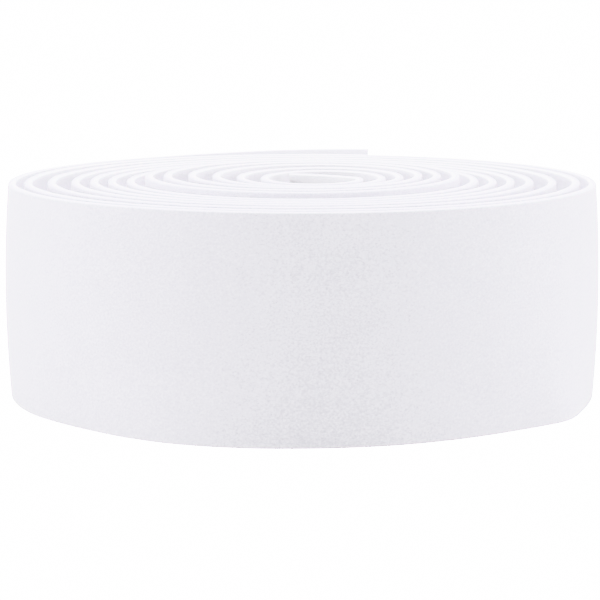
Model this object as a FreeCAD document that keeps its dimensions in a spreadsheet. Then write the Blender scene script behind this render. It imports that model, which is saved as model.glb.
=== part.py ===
"""Grip tape roll for a racket handle: flat cushioned tape, wound loosely on nothing into a spiral that
stands on its edge. The tape is four layers that were laid together flat: a soft face, a foam backing, an
adhesive strip down the middle of the back and the release liner that covers it.

Frame: millimetres, +Z up along the axis of the winding, the surface that the roll stands on at Z = 0, and
the origin under the middle of the roll. The front is -Y. Seen from above the tape starts at its loose tail
at the back and runs anticlockwise, inwards, to its inner end in the middle.

Every run of tape is an arc that carries on in the direction in which the last one stopped, so a layer is
its section turned about the centre of one arc after another. An arc's radius is measured to the crown of
the face, the outermost line of the tape.
"""

import FreeCAD, Part
import math
import os

import Sketcher

# Driving dimensions, in millimetres and degrees
DIMENSIONS = {
    # the tape
    "tape_width": 25.0,
    "tape_thickness": 1.4,  # face and foam, at the middle of the width
    "crown": 0.5,  # how far the face falls away from its middle to each edge
    "face_thickness": 0.4,
    "adhesive_width": 14.0,
    "adhesive_thickness": 0.1,
    "liner_width": 16.0,
    "liner_thickness": 0.1,
    # the winding, from the outside in
    "roll_radius": 34.8,
    "first_pitch": 1.95,
    "loose_pitch": 2.7,
    "snug_pitch": 2.15,
    "core_pitch": 2.5,
    "core_drift": 0.35,  # each turn at the core lies this much further to the right
    # the tail, the free end on the outside
    "tail_radius": 36.4,
    "tail_sweep": 101.5,
    "joint_gap": 0.1,  # between two lengths of tape that a hinge joins
    # the inner end, which bends back across the core
    "last_sweep": 155.0,
    "bend_radius": 2.0,
    "bend_sweep": 72.0,
    "end_gap": 0.2,  # between the bend and the inner end that swings on it
    "end_radius": 18.0,
    "end_sweep": 30.0,
}
# Whole turns that are wound at each pitch, from the outside in
PITCH_TURNS = (("first_pitch", 1), ("loose_pitch", 2), ("snug_pitch", 5), ("core_pitch", 4))
TURNS = sum(turns for _, turns in PITCH_TURNS)
CORE_STARTS = TURNS - PITCH_TURNS[-1][1]
TAIL_LENGTHS = 5
VOLUME_TOLERANCE = 1e-4

doc = FreeCAD.newDocument("grip_tape_roll")
sheet = doc.addObject("Spreadsheet::Sheet", "Dimensions")
for row, (alias, number) in enumerate(DIMENSIONS.items(), start=1):
    sheet.set(f"A{row}", alias)
    sheet.set(f"B{row}", str(number))
    sheet.setAlias(f"B{row}", alias)
doc.recompute()


def cell(alias):
    """A cell's name as other objects' expressions use it."""
    return f"Dimensions.{alias}"


def value(expression):
    """What an expression comes to, as a plain number."""
    return float(sheet.evalExpression(expression))


# Sections of the layers, with x = 0 at the crown of the face and the axis of the winding at -x


def bind(sketch, kind, *where, to):
    """Adds a dimension to a sketch and binds it to an expression."""
    index = sketch.addConstraint(Sketcher.Constraint(kind, *where, value(to)))
    sketch.setExpression(f"Constraints[{index}]", to)


def section(name, outer, inner, width, outer_bowed=False, inner_bowed=False):
    """The four-sided section of a layer, between two depths at its edges. A bowed side bulges outwards
    at the middle of the tape by the crown."""
    sketch = doc.addObject("Sketcher::SketchObject", name)
    sketch.Placement = FreeCAD.Placement(FreeCAD.Vector(), FreeCAD.Rotation(FreeCAD.Vector(1, 0, 0), 90))
    low = f"({cell('tape_width')} - {width}) / 2"
    high = f"({cell('tape_width')} + {width}) / 2"
    middle = value(cell("tape_width")) / 2
    for depth, bowed in ((outer, outer_bowed), (inner, inner_bowed)):
        bottom = FreeCAD.Vector(value(depth), value(low), 0)
        top = FreeCAD.Vector(value(depth), value(high), 0)
        if bowed:
            bulge = FreeCAD.Vector(value(depth) + value(cell("crown")), middle, 0)
            side = sketch.addGeometry(Part.Arc(bottom, bulge, top), False)
            half_width = f"{cell('tape_width')} / 2"
            bow_radius = f"(({half_width})^2 + {cell('crown')}^2) / (2 * {cell('crown')})"
            bind(sketch, "Radius", side, to=bow_radius)
        else:
            side = sketch.addGeometry(Part.LineSegment(bottom, top), False)
        for end, height in ((1, low), (2, high)):
            bind(sketch, "DistanceX", -1, 1, side, end, to=depth)
            bind(sketch, "DistanceY", -1, 1, side, end, to=height)
    outer_side, inner_side = 0, 1
    for end, height in ((1, low), (2, high)):
        corners = [FreeCAD.Vector(value(depth), value(height), 0) for depth in (outer, inner)]
        edge = sketch.addGeometry(Part.LineSegment(*corners), False)
        sketch.addConstraint(Sketcher.Constraint("Coincident", edge, 1, outer_side, end))
        sketch.addConstraint(Sketcher.Constraint("Coincident", edge, 2, inner_side, end))
    return sketch


face_edge = f"-{cell('crown')}"
foam_edge = f"{face_edge} - {cell('face_thickness')}"
foam_back = f"-{cell('tape_thickness')}"
adhesive_back = f"{foam_back} - {cell('adhesive_thickness')}"
liner_back = f"{adhesive_back} - {cell('liner_thickness')}"
SECTIONS = {
    "face": section("face_section", face_edge, foam_edge, cell("tape_width"), True, True),
    "foam": section("foam_section", foam_edge, foam_back, cell("tape_width"), True, False),
    "adhesive": section("adhesive_section", foam_back, adhesive_back, cell("adhesive_width")),
    "liner": section("liner_section", adhesive_back, liner_back, cell("liner_width")),
}


# Arcs of tape, each a start point in x and y, a start angle, a radius and a sweep, all expressions

FRONT_TO_BACK = f"(({cell('tail_radius')} - {cell('roll_radius')}) / 2)"
AXIS_Y = f"(-{FRONT_TO_BACK})"  # puts the origin midway between the front and the tail


def turn_radius(turn):
    """The crown's radius on the left and right of a turn, counted from 0 at the outside."""
    steps = ""
    left = turn
    for pitch, turns in PITCH_TURNS:
        steps += f" - {min(left, turns)} * {cell(pitch)}"
        left = max(left - turns, 0)
    return f"({cell('roll_radius')}{steps})"


def turn_centre(turn):
    """How far to the right of the axis a turn is centred."""
    return f"({max(turn - CORE_STARTS, 0)} * {cell('core_drift')})"


def crossing(number):
    """Where the crown crosses the line through the axis from left to right: on the left of each turn at
    an even number and on its right at the odd number after it."""
    turn, on_right = divmod(number, 2)
    side = "+" if on_right else "-"
    return f"({turn_centre(turn)} {side} {turn_radius(turn)})"


def end_of(arc):
    """The point and angle at which an arc stops, where the next one starts."""
    x, y, angle, radius, sweep = arc
    stop = f"({angle} + {sweep})"
    end_x = f"({x} + {radius} * (cos({stop} * 1deg) - cos({angle} * 1deg)))"
    end_y = f"({y} + {radius} * (sin({stop} * 1deg) - sin({angle} * 1deg)))"
    return end_x, end_y, stop


half_turns = []
for number in range(2 * TURNS):
    angle = "0" if number % 2 else "180"
    radius = f"(abs({crossing(number + 1)} - {crossing(number)}) / 2)"
    half_turns.append((crossing(number), AXIS_Y, angle, radius, "180"))
last_turn = (crossing(2 * TURNS), AXIS_Y, "180", turn_radius(TURNS), cell("last_sweep"))
bend = (*end_of(last_turn), cell("bend_radius"), cell("bend_sweep"))
ROLL_ARCS = half_turns + [last_turn, bend]

# The inner end starts a gap past the bend, so that it can swing both ways about the middle of its thickness.
gap_at_end = f"({cell('end_gap')} / {cell('end_radius')} * 180 / pi)"
end_x, end_y, end_angle = end_of((*end_of(bend), cell("end_radius"), gap_at_end))
INNER_END_ARC = (end_x, end_y, end_angle, cell("end_radius"), f"({cell('end_sweep')} - {gap_at_end})")


def tail_arc(length):
    """One length of the tail, counted from 1 where the tail leaves the roll, on the left, with a gap
    before it."""
    gap = f"({cell('joint_gap')} / {cell('tail_radius')} * 180 / pi)"
    sweep = f"({cell('tail_sweep')} / {TAIL_LENGTHS})"
    angle = f"(180 - {length} * {sweep})"
    x = f"({cell('tail_radius')} - {cell('roll_radius')} + {cell('tail_radius')} * cos({angle} * 1deg))"
    y = f"({AXIS_Y} + {cell('tail_radius')} * sin({angle} * 1deg))"
    return x, y, angle, cell("tail_radius"), f"({sweep} - {gap})"


def turned(name, layer, arc):
    """A layer's section turned along one arc of tape."""
    x, y, angle, radius, sweep = arc
    run = doc.addObject("Part::Revolution", name)
    run.Source = SECTIONS[layer]
    run.Axis = FreeCAD.Vector(0, 0, 1)
    run.Solid = True
    run.setExpression("Base.x", f"-{radius}")
    run.setExpression("Angle", sweep)
    run.Placement = FreeCAD.Placement(FreeCAD.Vector(), FreeCAD.Rotation(FreeCAD.Vector(0, 0, 1), value(angle)))
    run.setExpression("Placement.Base.x", x)
    run.setExpression("Placement.Base.y", y)
    run.setExpression("Placement.Rotation.Angle", angle)
    return run


def arc_volume(layer, arc):
    """The volume that a layer has along an arc: its section's area times the path of its centroid."""
    face = Part.Face(SECTIONS[layer].Shape)
    radius, sweep = (value(expression) for expression in arc[3:])
    return face.Area * (radius + face.CenterOfMass.x) * math.radians(sweep)


def wound(label, layer):
    """A layer of the roll itself, one piece from where the tail starts to the bend at the inner end."""
    runs = [turned(f"{layer}_run_{number}", layer, arc) for number, arc in enumerate(ROLL_ARCS)]
    roll = doc.addObject("Part::MultiFuse", f"{layer}_roll")
    roll.Shapes = runs
    roll.Label = label
    return roll


def single(label, layer, arc):
    """A layer of a length of tape that moves on its own."""
    run = turned(label, layer, arc)
    run.Label = label
    return run


doc.recompute()
ROLL_LABELS = {
    "face": "grip_face",
    "foam": "foam_backing",
    "adhesive": "adhesive_strip",
    "liner": "release_liner",
}
nodes = {}
for layer, label in ROLL_LABELS.items():
    nodes[label] = (wound(label, layer), layer, ROLL_ARCS)
    for length in range(1, TAIL_LENGTHS + 1):
        tail_label = f"tail_{length}_{layer}"
        nodes[tail_label] = (single(tail_label, layer, tail_arc(length)), layer, [tail_arc(length)])
    end_label = f"inner_end_{layer}"
    nodes[end_label] = (single(end_label, layer, INNER_END_ARC), layer, [INNER_END_ARC])
doc.recompute()

# Nothing is written unless every object was made and every layer is one solid with the volume it should have.
for made in doc.Objects:
    if "Invalid" in made.State or "Error" in made.State:
        raise RuntimeError(f"{made.Label} was not made: {made.State}")
for label, (node, layer, arcs) in nodes.items():
    if node.Shape.isNull() or not node.Shape.isValid() or len(node.Shape.Solids) != 1:
        raise RuntimeError(f"{label} is not one valid solid")
    expected = sum(arc_volume(layer, arc) for arc in arcs)
    if abs(node.Shape.Volume - expected) > VOLUME_TOLERANCE * expected:
        raise RuntimeError(f"{label} has a volume of {node.Shape.Volume}, and it should have {expected}")

os.makedirs("parts", exist_ok=True)
for label, (node, _, _) in nodes.items():
    node.Shape.exportStep(f"parts/{label}.step")
tape_length = sum(math.radians(value(arc[4])) * value(arc[3]) for arc in ROLL_ARCS)
print(f"{len(nodes)} nodes, {tape_length:.0f} mm of tape in the roll without its tail and inner end")
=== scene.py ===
"""Looks of the grip tape roll: every layer of the tape as a detailed soft sheet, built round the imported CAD.

Millimetres are used for the tape and are turned into metres where a mesh is made. The tape is one path of
arcs, measured along the crown of its face from the hinge where the tail leaves the roll: the tail is at
negative distances and the winding runs inwards at positive ones.
"""

import math

import bpy
import numpy as np
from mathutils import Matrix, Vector


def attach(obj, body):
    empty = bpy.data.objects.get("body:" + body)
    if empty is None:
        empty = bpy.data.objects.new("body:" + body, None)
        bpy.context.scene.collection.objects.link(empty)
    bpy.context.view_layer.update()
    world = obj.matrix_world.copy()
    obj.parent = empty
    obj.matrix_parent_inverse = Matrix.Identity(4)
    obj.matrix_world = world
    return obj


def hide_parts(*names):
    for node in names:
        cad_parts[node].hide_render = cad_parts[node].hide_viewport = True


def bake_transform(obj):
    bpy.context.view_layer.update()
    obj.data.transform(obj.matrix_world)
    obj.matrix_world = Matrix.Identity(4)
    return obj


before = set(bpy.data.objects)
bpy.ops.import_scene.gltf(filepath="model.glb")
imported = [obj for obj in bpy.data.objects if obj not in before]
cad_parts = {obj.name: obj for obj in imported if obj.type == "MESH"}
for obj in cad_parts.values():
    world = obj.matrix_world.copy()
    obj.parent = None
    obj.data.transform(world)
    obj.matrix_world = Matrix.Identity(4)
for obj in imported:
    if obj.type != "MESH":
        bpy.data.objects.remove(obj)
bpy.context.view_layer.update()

MM = 0.001

# The tape's section
WIDTH = 25.0
CROWN = 0.5
FACE = 0.4
TAPE = 1.4
ADHESIVE_WIDTH = 14.0
LINER_WIDTH = 16.0
FILM = 0.1  # adhesive and liner are each this thick

# The winding, from the outside in
ROLL_RADIUS = 34.8
PITCHES = [1.95] + [2.7] * 2 + [2.15] * 5 + [2.5] * 4
CORE_STARTS = 8
CORE_DRIFT = 0.35
LAST_SWEEP = math.radians(155)
BEND_RADIUS = 2.0
BEND_SWEEP = math.radians(72)
END_RADIUS = 18.0
END_SWEEP = math.radians(30)
TAIL_RADIUS = 36.4
TAIL_SWEEP = math.radians(101.5)
TAIL_LENGTHS = 5
AXIS_Y = -(TAIL_RADIUS - ROLL_RADIUS) / 2


# The path of the tape


def winding_arcs():
    """The arcs of the roll from the hinge inwards, each a centre in x and y, a start angle, a radius and a
    sweep, all turning anticlockwise."""
    radii = [ROLL_RADIUS - sum(PITCHES[:turn]) for turn in range(len(PITCHES) + 1)]
    centres = [CORE_DRIFT * max(turn - CORE_STARTS, 0) for turn in range(len(PITCHES) + 1)]
    left = [centre - radius for centre, radius in zip(centres, radii)]
    right = [centre + radius for centre, radius in zip(centres, radii)]
    arcs = []
    for turn in range(len(PITCHES)):
        for start, stop, angle in ((left[turn], right[turn], math.pi), (right[turn], left[turn + 1], 0.0)):
            arcs.append(((start + stop) / 2, AXIS_Y, angle, abs(stop - start) / 2, math.pi))
    arcs.append((centres[-1], AXIS_Y, math.pi, radii[-1], LAST_SWEEP))
    for radius, sweep in ((BEND_RADIUS, BEND_SWEEP), (END_RADIUS, END_SWEEP)):
        x, y, angle, before, turned = arcs[-1]
        angle += turned
        x += (before - radius) * math.cos(angle)
        y += (before - radius) * math.sin(angle)
        arcs.append((x, y, angle, radius, sweep))
    return arcs


TAIL_ARC = (TAIL_RADIUS - ROLL_RADIUS, AXIS_Y, math.pi - TAIL_SWEEP, TAIL_RADIUS, TAIL_SWEEP)
ARCS = [TAIL_ARC] + winding_arcs()
ARC_LENGTHS = np.array([radius * sweep for _, _, _, radius, sweep in ARCS])
TAIL_LENGTH = ARC_LENGTHS[0]
ARC_STARTS = np.concatenate(([0.0], np.cumsum(ARC_LENGTHS)[:-1])) - TAIL_LENGTH
PATH_END = ARC_STARTS[-1] + ARC_LENGTHS[-1]
INNER_HINGE = ARC_STARTS[-1]
HALF_LENGTH = TAIL_LENGTH / TAIL_LENGTHS / 2


def on_path(distance):
    """Centre, angle and radius of the path's arc at each distance along the tape."""
    index = np.clip(np.searchsorted(ARC_STARTS, distance, side="right") - 1, 0, len(ARCS) - 1)
    arcs = np.array(ARCS)[index]
    angle = arcs[:, 2] + (distance - ARC_STARTS[index]) / arcs[:, 3]
    return arcs[:, 0], arcs[:, 1], angle, arcs[:, 3]


def front_arc(turn):
    """The number of the arc that is the front half of a turn, counted from 0 at the outside."""
    return 1 + 2 * turn


def front_of_turn(turn):
    """Distance along the tape at the front of a turn."""
    arc = front_arc(turn)
    return ARC_STARTS[arc] + ARC_LENGTHS[arc] / 2


def smooth(x):
    """A smooth step from 0 to 1 as x goes from 0 to 1."""
    x = np.clip(x, 0.0, 1.0)
    return x * x * (3 - 2 * x)


# How the real tape departs from the plain path. Turns are counted from 0 at the outside.

CORE_RAISE = 0.6
CORE_SETTLE = 0.63  # share of the raise that is gone at the innermost turns
CORE_TILT = 0.17  # the core stands higher at the back
RAISE_TURN = 7  # the raise is complete at the front of this turn
SETTLE_TURNS = 9, 12  # between the fronts of these turns it settles
TAIL_LIFT = 0.53  # how far the tail's end stands above the roll's top
TAIL_LIFT_LENGTH = 34.0
SLACK_TURNS = {3: 0.25, 4: 0.6, 5: 0.95, 6: 1.35, 7: 0.25}  # how far these turns bulge to the front
SLACK_ARC = math.radians(48)  # how far round the bulges spread

# The lower edge of the outer turns curls in and out: where, how wide and how far outwards
EDGE_CURLS = ((222, 12, -0.45), (254, 16, 0.6), (302, 11, -0.35), (327, 9, 1.1))
CURL_HEIGHT = 14.0  # height over which a curl dies out
CURL_GROWTH = 30.0  # length of tape over which the curls set in, from the hinge
CURL_KEPT = 60.0  # length past the front of the first turn at which they start to fade
CURL_FADE = 90.0

# Small waves: their length over 2 pi, their phase, how the phase changes with height, and their share
SLOW_WAVES = ((5.3, 1.0, 0.08, 1.0), (3.1, 2.2, -0.11, 0.7))
QUICK_WAVES = ((1.27, 0.6, 0.3, 1.0), (1.9, 0.0, 0.21, 1.0))
SLOW_DEPTH = 0.018  # of the whole tape, and as much again at its edges
QUICK_DEPTH = 0.012  # at the edges only


def lift(distance, angle):
    """How far the tape stands above the height at which it was wound."""
    start, stop = front_of_turn(RAISE_TURN - 1), front_of_turn(RAISE_TURN)
    raised = smooth((distance - start) / (stop - start))
    start, stop = (front_of_turn(turn) for turn in SETTLE_TURNS)
    settled = 1 - CORE_SETTLE * smooth((distance - start) / (stop - start))
    core = raised * (CORE_RAISE * settled + CORE_TILT * np.sin(angle))
    tail = TAIL_LIFT * smooth((-distance - (TAIL_LENGTH - TAIL_LIFT_LENGTH)) / TAIL_LIFT_LENGTH)
    return core + tail


def slack(distance):
    """How far the tape bulges outwards at the front of the turns that lie loose there."""
    total = np.zeros_like(distance)
    for turn, amount in SLACK_TURNS.items():
        radius = ARCS[front_arc(turn)][3]
        away = (distance - front_of_turn(turn)) / radius
        total = total + amount * np.exp(-((away / SLACK_ARC) ** 2))
    return total


def edge_curl(distance, angle, height):
    """How far the lower edge curls outwards, only on the outer turns."""
    total = np.zeros_like(angle)
    for degrees, width, amount in EDGE_CURLS:
        away = (np.degrees(angle) - degrees + 180) % 360 - 180
        total = total + amount * np.exp(-((away / width) ** 2))
    low = np.clip(1 - height / CURL_HEIGHT, 0, 1) ** 2
    fading = 1 - smooth((distance - front_of_turn(0) - CURL_KEPT) / CURL_FADE)
    return total * low * fading * smooth(distance / CURL_GROWTH)


def waves(kinds, distance, height):
    """A sum of waves that run along the tape."""
    total = 0.0
    for length, phase, lean, share in kinds:
        total = total + share * np.sin(distance / length + phase + lean * height)
    return total


def waviness(distance, height):
    """Small waves of the whole tape towards and away from the axis, more at its edges."""
    edge = np.abs(height / (WIDTH / 2) - 1) ** 2
    slow = SLOW_DEPTH * waves(SLOW_WAVES, distance, height)
    quick = QUICK_DEPTH * waves(QUICK_WAVES, distance, height)
    return slow + edge * (slow + quick)


# Sections of the layers, each an outer and an inner side of as many points, from the bottom edge to the top.
# A point is how far out from the crown it lies, 0 or less, and its height.

CORNER = 0.2  # how far the face's upper edge is rounded
LOW_CORNER = 0.12
SOFT_CORNER = 0.14  # of the foam's back
THIN_CORNER = 0.02
FOAM_INSET = 0.03  # the foam's cut edge lies this far behind the face's
SIDE_POINTS = 9
CORNER_POINTS = 4


def bow(height):
    """How far out from the crown the bowed face lies at a height."""
    return -CROWN * ((height - WIDTH / 2) / (WIDTH / 2)) ** 2


def under_face(height):
    """How far out from the crown the face meets the foam at a height."""
    return bow(height) - FACE


def flat(depth):
    """A side that lies at one depth behind the crown."""
    return lambda height: -depth


def side(out_at, low, high, low_corner, high_corner, outwards):
    """Points of one side of a section from its low edge to its high edge, with rounded corners. outwards is
    1 for an outer side and -1 for an inner one."""
    points = []
    turns = np.linspace(0, math.pi / 2, CORNER_POINTS + 1)
    low_out = out_at(low + low_corner) - outwards * low_corner
    for turn in turns[:-1]:
        rise = low_corner - low_corner * math.cos(turn)
        points.append((low_out + outwards * low_corner * math.sin(turn), low + rise))
    middle = np.linspace(low + low_corner, high - high_corner, SIDE_POINTS)
    points += [(out_at(height), height) for height in middle]
    high_out = out_at(high - high_corner) - outwards * high_corner
    for turn in turns[1:]:
        rise = high_corner * math.sin(turn)
        points.append((high_out + outwards * high_corner * math.cos(turn), high - high_corner + rise))
    return np.array(points)


def film_section(depth, width):
    """The section of a film in the middle of the tape's back, whose outer side is at a depth."""
    low, high = (WIDTH - width) / 2, (WIDTH + width) / 2
    return (
        side(flat(depth), low, high, THIN_CORNER, THIN_CORNER, 1),
        side(flat(depth + FILM), low, high, THIN_CORNER, THIN_CORNER, -1),
    )


SECTIONS = {
    "face": (
        side(bow, 0.0, WIDTH, LOW_CORNER, CORNER, 1),
        side(under_face, 0.0, WIDTH, THIN_CORNER, THIN_CORNER, -1),
    ),
    "foam": (
        side(under_face, FOAM_INSET, WIDTH - FOAM_INSET, THIN_CORNER, THIN_CORNER, 1),
        side(flat(TAPE), FOAM_INSET, WIDTH - FOAM_INSET, SOFT_CORNER, SOFT_CORNER, -1),
    ),
    "adhesive": film_section(TAPE, ADHESIVE_WIDTH),
    "liner": film_section(TAPE + FILM, LINER_WIDTH),
}


# Meshes

COLUMN = 1.1  # the widest column, along the tape
COLUMN_TURN = math.radians(3.5)  # the most that the path turns within it
LAST_COLUMN = 1.4  # the last column of a mesh may be this many times as wide
NUDGE = 1e-6  # past a column that lies where two arcs meet, to find the arc that starts there
PLACE = "tape_place"
SHARP = math.radians(50)  # edges that turn by more than this aren't smoothed


def columns(start, stop):
    """Distances along the tape for the columns of a mesh, closer together where it bends more."""
    distances = [start]
    while True:
        radius = float(on_path(np.array([distances[-1] + NUDGE]))[3][0])
        step = min(COLUMN, radius * COLUMN_TURN)
        if distances[-1] + LAST_COLUMN * step >= stop:
            return np.array(distances + [stop])
        distances.append(distances[-1] + step)


def tape_mesh(name, layer, start, stop):
    """A closed mesh of one layer between two distances along the tape. Each point keeps its place on the
    flat tape, so that its grain stays with it."""
    outer, inner = SECTIONS[layer]
    loop = np.concatenate((outer, inner[::-1]))
    out, height = loop[:, 0][None, :], loop[:, 1][None, :]
    distances = columns(start, stop)
    x, y, angle, radius = (number[:, None] for number in on_path(distances))
    along = distances[:, None]
    reach = radius + out + slack(along) + edge_curl(along, angle, height) + waviness(along, height)
    places = (x + reach * np.cos(angle), y + reach * np.sin(angle), height + lift(along, angle))
    points = np.stack(places, axis=-1)
    count, around = points.shape[:2]
    faces = []
    for i in range(count - 1):
        for j in range(around):
            k = (j + 1) % around
            faces.append((i * around + j, (i + 1) * around + j, (i + 1) * around + k, i * around + k))
    last = (count - 1) * around
    for j in range(around // 2 - 1):
        mirrored = around - 1 - j
        faces.append((j, j + 1, mirrored - 1, mirrored))
        faces.append((last + j, last + mirrored, last + mirrored - 1, last + j + 1))
    mesh = bpy.data.meshes.new(name)
    mesh.from_pydata((points.reshape(-1, 3) * MM).tolist(), [], faces)
    place = mesh.attributes.new(PLACE, "FLOAT_VECTOR", "POINT")
    flat_place = np.stack(np.broadcast_arrays(along, height, out), axis=-1)
    place.data.foreach_set("vector", flat_place.reshape(-1).astype(np.float32))
    mesh.shade_smooth()
    mesh.set_sharp_from_angle(angle=SHARP)
    mesh.validate()
    return mesh


def add_object(name, data):
    """A new object in the scene."""
    added = bpy.data.objects.new(name, data)
    bpy.context.collection.objects.link(added)
    return added


# Materials

# Each layer's material: its name, its darkest and lightest colour, how fine its grain and its fibres are,
# how deep its bumps are, its roughness and its sheen
LOOKS = {
    "face": ("soft_face", (0.77, 0.762, 0.805), (0.96, 0.952, 0.985), 3.4, 7.0, 0.025, 0.75, 0.4),
    "foam": ("foam", (0.92, 0.915, 0.94), (0.97, 0.965, 0.98), 3.0, 8.0, 0.08, 0.95, 0.1),
    "adhesive": ("adhesive", (0.74, 0.73, 0.69), (0.80, 0.79, 0.75), 1.0, 4.0, 0.01, 0.35, 0.0),
    "liner": ("liner", (0.78, 0.775, 0.80), (0.86, 0.855, 0.88), 0.8, 9.0, 0.01, 0.4, 0.0),
}
MOTTLE_NOISE = 3.0, 0.6  # detail and roughness
FIBRE_NOISE = 2.0, 0.5
CLOUD_NOISE = 2.0, 0.5
FIBRE_STRETCH = (0.6, 1, 1)  # fibres lie more along the tape than across it
FIBRE_SHARE = 0.4
CLOUD_SIZE = 12  # in grains
CLOUD_SHARE = 0.1
DARK_END, LIGHT_END = 0.3, 0.7  # noise at which the colours are darkest and lightest
SPECULAR = 0.3
BUMP_STRENGTH = 0.5


def new_material(name):
    material = bpy.data.materials.new(name)
    material.use_nodes = True
    nodes = material.node_tree.nodes
    shader = next(node for node in nodes if node.type == "BSDF_PRINCIPLED")
    return material, nodes, material.node_tree.links, shader


def tape_coordinates(nodes):
    """The point's place on the flat tape, in millimetres."""
    place = nodes.new("ShaderNodeAttribute")
    place.attribute_name = PLACE
    return place.outputs["Vector"]


def noise(nodes, links, vector, scale, detail, roughness, stretch=(1, 1, 1)):
    mapping = nodes.new("ShaderNodeMapping")
    mapping.inputs["Scale"].default_value = stretch
    links.new(vector, mapping.inputs["Vector"])
    texture = nodes.new("ShaderNodeTexNoise")
    texture.inputs["Scale"].default_value = scale
    texture.inputs["Detail"].default_value = detail
    texture.inputs["Roughness"].default_value = roughness
    links.new(mapping.outputs["Vector"], texture.inputs["Vector"])
    return texture.outputs["Fac"]


def ramp(nodes, links, factor, dark, light):
    """A colour between a dark and a light one."""
    node = nodes.new("ShaderNodeValToRGB")
    for element, position, colour in zip(node.color_ramp.elements, (DARK_END, LIGHT_END), (dark, light)):
        element.position = position
        element.color = (*colour, 1)
    links.new(factor, node.inputs["Fac"])
    return node.outputs["Color"]


def mixed(nodes, links, first, second, share):
    """Two values mixed by a fixed share of the second."""
    node = nodes.new("ShaderNodeMix")
    node.inputs["Factor"].default_value = share
    links.new(first, node.inputs["A"])
    links.new(second, node.inputs["B"])
    return node.outputs["Result"]


def bumped(nodes, links, shader, height, depth):
    node = nodes.new("ShaderNodeBump")
    node.inputs["Strength"].default_value = BUMP_STRENGTH
    node.inputs["Distance"].default_value = depth * MM
    links.new(height, node.inputs["Height"])
    links.new(node.outputs["Normal"], shader.inputs["Normal"])


def soft_material(name, dark, light, grain, fibre, bump, roughness, sheen):
    """A pale soft layer with mottled grain and fine fibres."""
    material, nodes, links, shader = new_material(name)
    vector = tape_coordinates(nodes)
    mottle = noise(nodes, links, vector, grain, *MOTTLE_NOISE)
    fibres = noise(nodes, links, vector, fibre, *FIBRE_NOISE, FIBRE_STRETCH)
    cloud = noise(nodes, links, vector, grain / CLOUD_SIZE, *CLOUD_NOISE)
    height = mixed(nodes, links, mottle, fibres, FIBRE_SHARE)
    tone = mixed(nodes, links, height, cloud, CLOUD_SHARE)
    links.new(ramp(nodes, links, tone, dark, light), shader.inputs["Base Color"])
    shader.inputs["Roughness"].default_value = roughness
    shader.inputs["Sheen Weight"].default_value = sheen
    shader.inputs["Specular IOR Level"].default_value = SPECULAR
    bumped(nodes, links, shader, height, bump)
    return material


MATERIALS = {layer: soft_material(*look) for layer, look in LOOKS.items()}


# Pieces

BEND_SHARE = 0.9  # of half a length: how far the bend at a hinge reaches on each side of it
INNER_LEAD = 2.3  # how far before its hinge the inner end's stretch starts
INNER_BEND = -0.35, 2.0  # from its hinge

# Each stretch of tape: its name, the joint's two bodies, where it starts and stops along the tape, where it
# bends, and how deep behind the crown its bend is measured
STRETCHES = []
for length in range(1, TAIL_LENGTHS + 1):
    hinge = -2 * HALF_LENGTH * (length - 1)
    far = -TAIL_LENGTH if length == TAIL_LENGTHS else hinge - HALF_LENGTH
    bodies = ("roll" if length == 1 else f"tail_{length - 1}", f"tail_{length}")
    bend = (hinge + BEND_SHARE * HALF_LENGTH, hinge - BEND_SHARE * HALF_LENGTH)
    STRETCHES.append((f"tail_{length}", bodies, far, hinge + HALF_LENGTH, bend, TAPE / 2))
inner_start = INNER_HINGE - INNER_LEAD
inner_bend = [INNER_HINGE + place for place in INNER_BEND]
STRETCHES.append(("roll", ("roll",), HALF_LENGTH, inner_start, None, None))
STRETCHES.append(("inner_end", ("roll", "inner_end"), inner_start, PATH_END, inner_bend, 0.0))

ROLL_NODES = {
    "face": "grip_face",
    "foam": "foam_backing",
    "adhesive": "adhesive_strip",
    "liner": "release_liner",
}

for name, bodies, start, stop, bend, bend_depth in STRETCHES:
    for layer in SECTIONS:
        piece_name = f"{name}_{layer}_sheet"
        piece = add_object(piece_name, tape_mesh(piece_name, layer, start, stop))
        piece.data.materials.append(MATERIALS[layer])
        if bend is None:
            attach(piece, *bodies)
        else:
            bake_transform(piece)
        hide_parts(ROLL_NODES[layer] if name == "roll" else f"{name}_{layer}")


# Floor and light, in metres and watts

FLOOR_HALF = 3.0
# Under the roll the floor's glow fades out: a painted contact shadow
FLOOR_SHADE = 33.2, 34.2  # millimetres from the axis between which the floor goes from unlit to lit
FLOOR_COLOUR = (0.1, 0.1, 0.1, 1)
FLOOR_LIGHT = 0.76
HORIZON_LIGHT = 0.56
ZENITH_LIGHT = 3.2
CEILING_TILT = math.radians(20)  # the brightest part of the ceiling is behind the roll
CEILING_EDGE = 0.75  # cosine of the angle between the ceiling's brightest part and its edge
BACKDROP = 20.0  # bright enough to be plain white in the picture
WHITE = (1, 1, 1, 1)

# Each lamp's name, its place, what it points at, its width and height, and its power
LAMPS = (
    ("light_above", (0, 0.12, 0.6), (0, 0.12, 0), (0.5, 0.3), 4.5),
    ("light_left", (-0.56, -0.22, 0.06), (0, 0, 0.01), (0.4, 0.3), 2.4),
    ("light_right", (0.59, -0.1, 0.06), (0, 0, 0.01), (0.4, 0.3), 2.4),
)


def seen_as_white(nodes, links, light):
    """A brightness that is a given one as light on the object, and plain white where it is the backdrop."""
    path = nodes.new("ShaderNodeLightPath")
    choice = nodes.new("ShaderNodeMix")
    links.new(path.outputs["Is Camera Ray"], choice.inputs["Factor"])
    if isinstance(light, float):
        choice.inputs["A"].default_value = light
    else:
        links.new(light, choice.inputs["A"])
    choice.inputs["B"].default_value = BACKDROP
    return choice.outputs["Result"]


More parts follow.
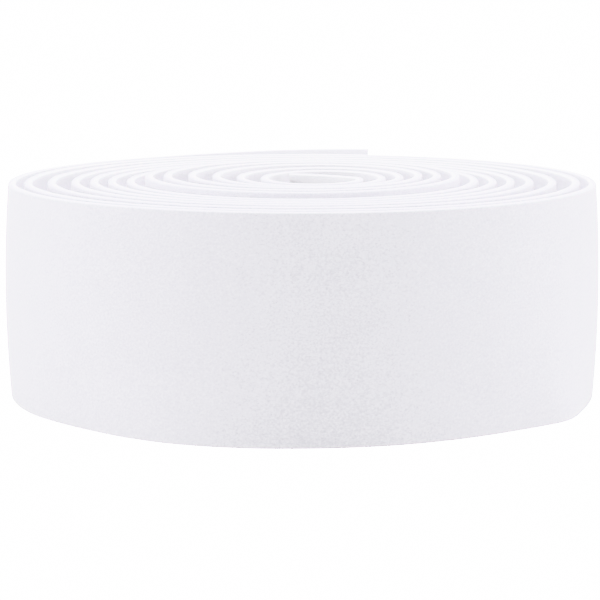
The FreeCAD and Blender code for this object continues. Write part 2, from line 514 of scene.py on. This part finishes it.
def floor_material():
    """A pale floor that glows except under the roll, where its glow fades out as a painted shadow."""
    material, nodes, links, shader = new_material("floor_pale")
    shader.inputs["Base Color"].default_value = FLOOR_COLOUR
    shader.inputs["Roughness"].default_value = 1.0
    shader.inputs["Specular IOR Level"].default_value = 0.0
    shader.inputs["Emission Color"].default_value = WHITE
    place = nodes.new("ShaderNodeNewGeometry")
    away = nodes.new("ShaderNodeVectorMath")
    away.operation = "DISTANCE"
    links.new(place.outputs["Position"], away.inputs[0])
    away.inputs[1].default_value = (0, AXIS_Y * MM, 0)
    # Painted shadow: no glow within the roll's footprint, full glow outside it
    open_floor = nodes.new("ShaderNodeMapRange")
    open_floor.inputs["From Min"].default_value = FLOOR_SHADE[0] * MM
    open_floor.inputs["From Max"].default_value = FLOOR_SHADE[1] * MM
    links.new(away.outputs["Value"], open_floor.inputs["Value"])
    strength = nodes.new("ShaderNodeMath")
    strength.operation = "MULTIPLY"
    links.new(open_floor.outputs["Result"], strength.inputs[0])
    links.new(seen_as_white(nodes, links, FLOOR_LIGHT), strength.inputs[1])
    links.new(strength.outputs["Value"], shader.inputs["Emission Strength"])
    return material


def studio_world():
    """A white room whose ceiling is its brightest part. The camera sees its walls as plain white."""
    world = bpy.data.worlds.new("studio")
    bpy.context.scene.world = world
    world.use_nodes = True
    nodes, links = world.node_tree.nodes, world.node_tree.links
    background = nodes["Background"]
    background.inputs["Color"].default_value = WHITE
    direction = nodes.new("ShaderNodeTexCoord")
    towards_bright = nodes.new("ShaderNodeVectorMath")
    towards_bright.operation = "DOT_PRODUCT"
    links.new(direction.outputs["Generated"], towards_bright.inputs[0])
    towards_bright.inputs[1].default_value = (0, math.sin(CEILING_TILT), math.cos(CEILING_TILT))
    climb = nodes.new("ShaderNodeMapRange")
    climb.interpolation_type = "SMOOTHSTEP"
    climb.inputs["From Min"].default_value = CEILING_EDGE
    climb.inputs["From Max"].default_value = 1.0
    climb.inputs["To Min"].default_value = HORIZON_LIGHT
    climb.inputs["To Max"].default_value = ZENITH_LIGHT
    links.new(towards_bright.outputs["Value"], climb.inputs["Value"])
    links.new(seen_as_white(nodes, links, climb.outputs["Result"]), background.inputs["Strength"])


def area_light(name, place, target, size, power):
    light = bpy.data.lights.new(name, "AREA")
    light.shape = "RECTANGLE"
    light.size, light.size_y = size
    light.energy = power
    holder = add_object(name, light)
    holder.location = place
    holder.rotation_mode = "QUATERNION"
    holder.rotation_quaternion = (Vector(target) - Vector(place)).to_track_quat("-Z", "Y")


floor_corners = [(x * FLOOR_HALF, y * FLOOR_HALF, 0) for x, y in ((-1, -1), (1, -1), (1, 1), (-1, 1))]
floor_mesh = bpy.data.meshes.new("floor")
floor_mesh.from_pydata(floor_corners, [], [(0, 1, 2, 3)])
floor_mesh.materials.append(floor_material())
floor = add_object("floor", floor_mesh)
studio_world()
for lamp in LAMPS:
    area_light(*lamp)


# Camera, in millimetres

CAMERA_X = -0.25
CAMERA_DISTANCE = 285.2  # in front of the axis
CAMERA_HEIGHT = 53.6
CAMERA_TILT = math.radians(8.56)
SENSOR_WIDTH = 36.0
LENS = 146.4
NEAREST, FARTHEST = 10.0, 20000.0  # that the camera sees

camera_data = bpy.data.cameras.new("camera")
camera_data.sensor_width = SENSOR_WIDTH
camera_data.lens = LENS
camera_data.clip_start = NEAREST * MM
camera_data.clip_end = FARTHEST * MM
camera = add_object("camera", camera_data)
camera.location = (CAMERA_X * MM, (AXIS_Y - CAMERA_DISTANCE) * MM, CAMERA_HEIGHT * MM)
camera.rotation_euler = (math.pi / 2 - CAMERA_TILT, 0.0, 0.0)
bpy.context.scene.camera = camera
bpy.context.scene.view_settings.view_transform = "Khronos PBR Neutral"
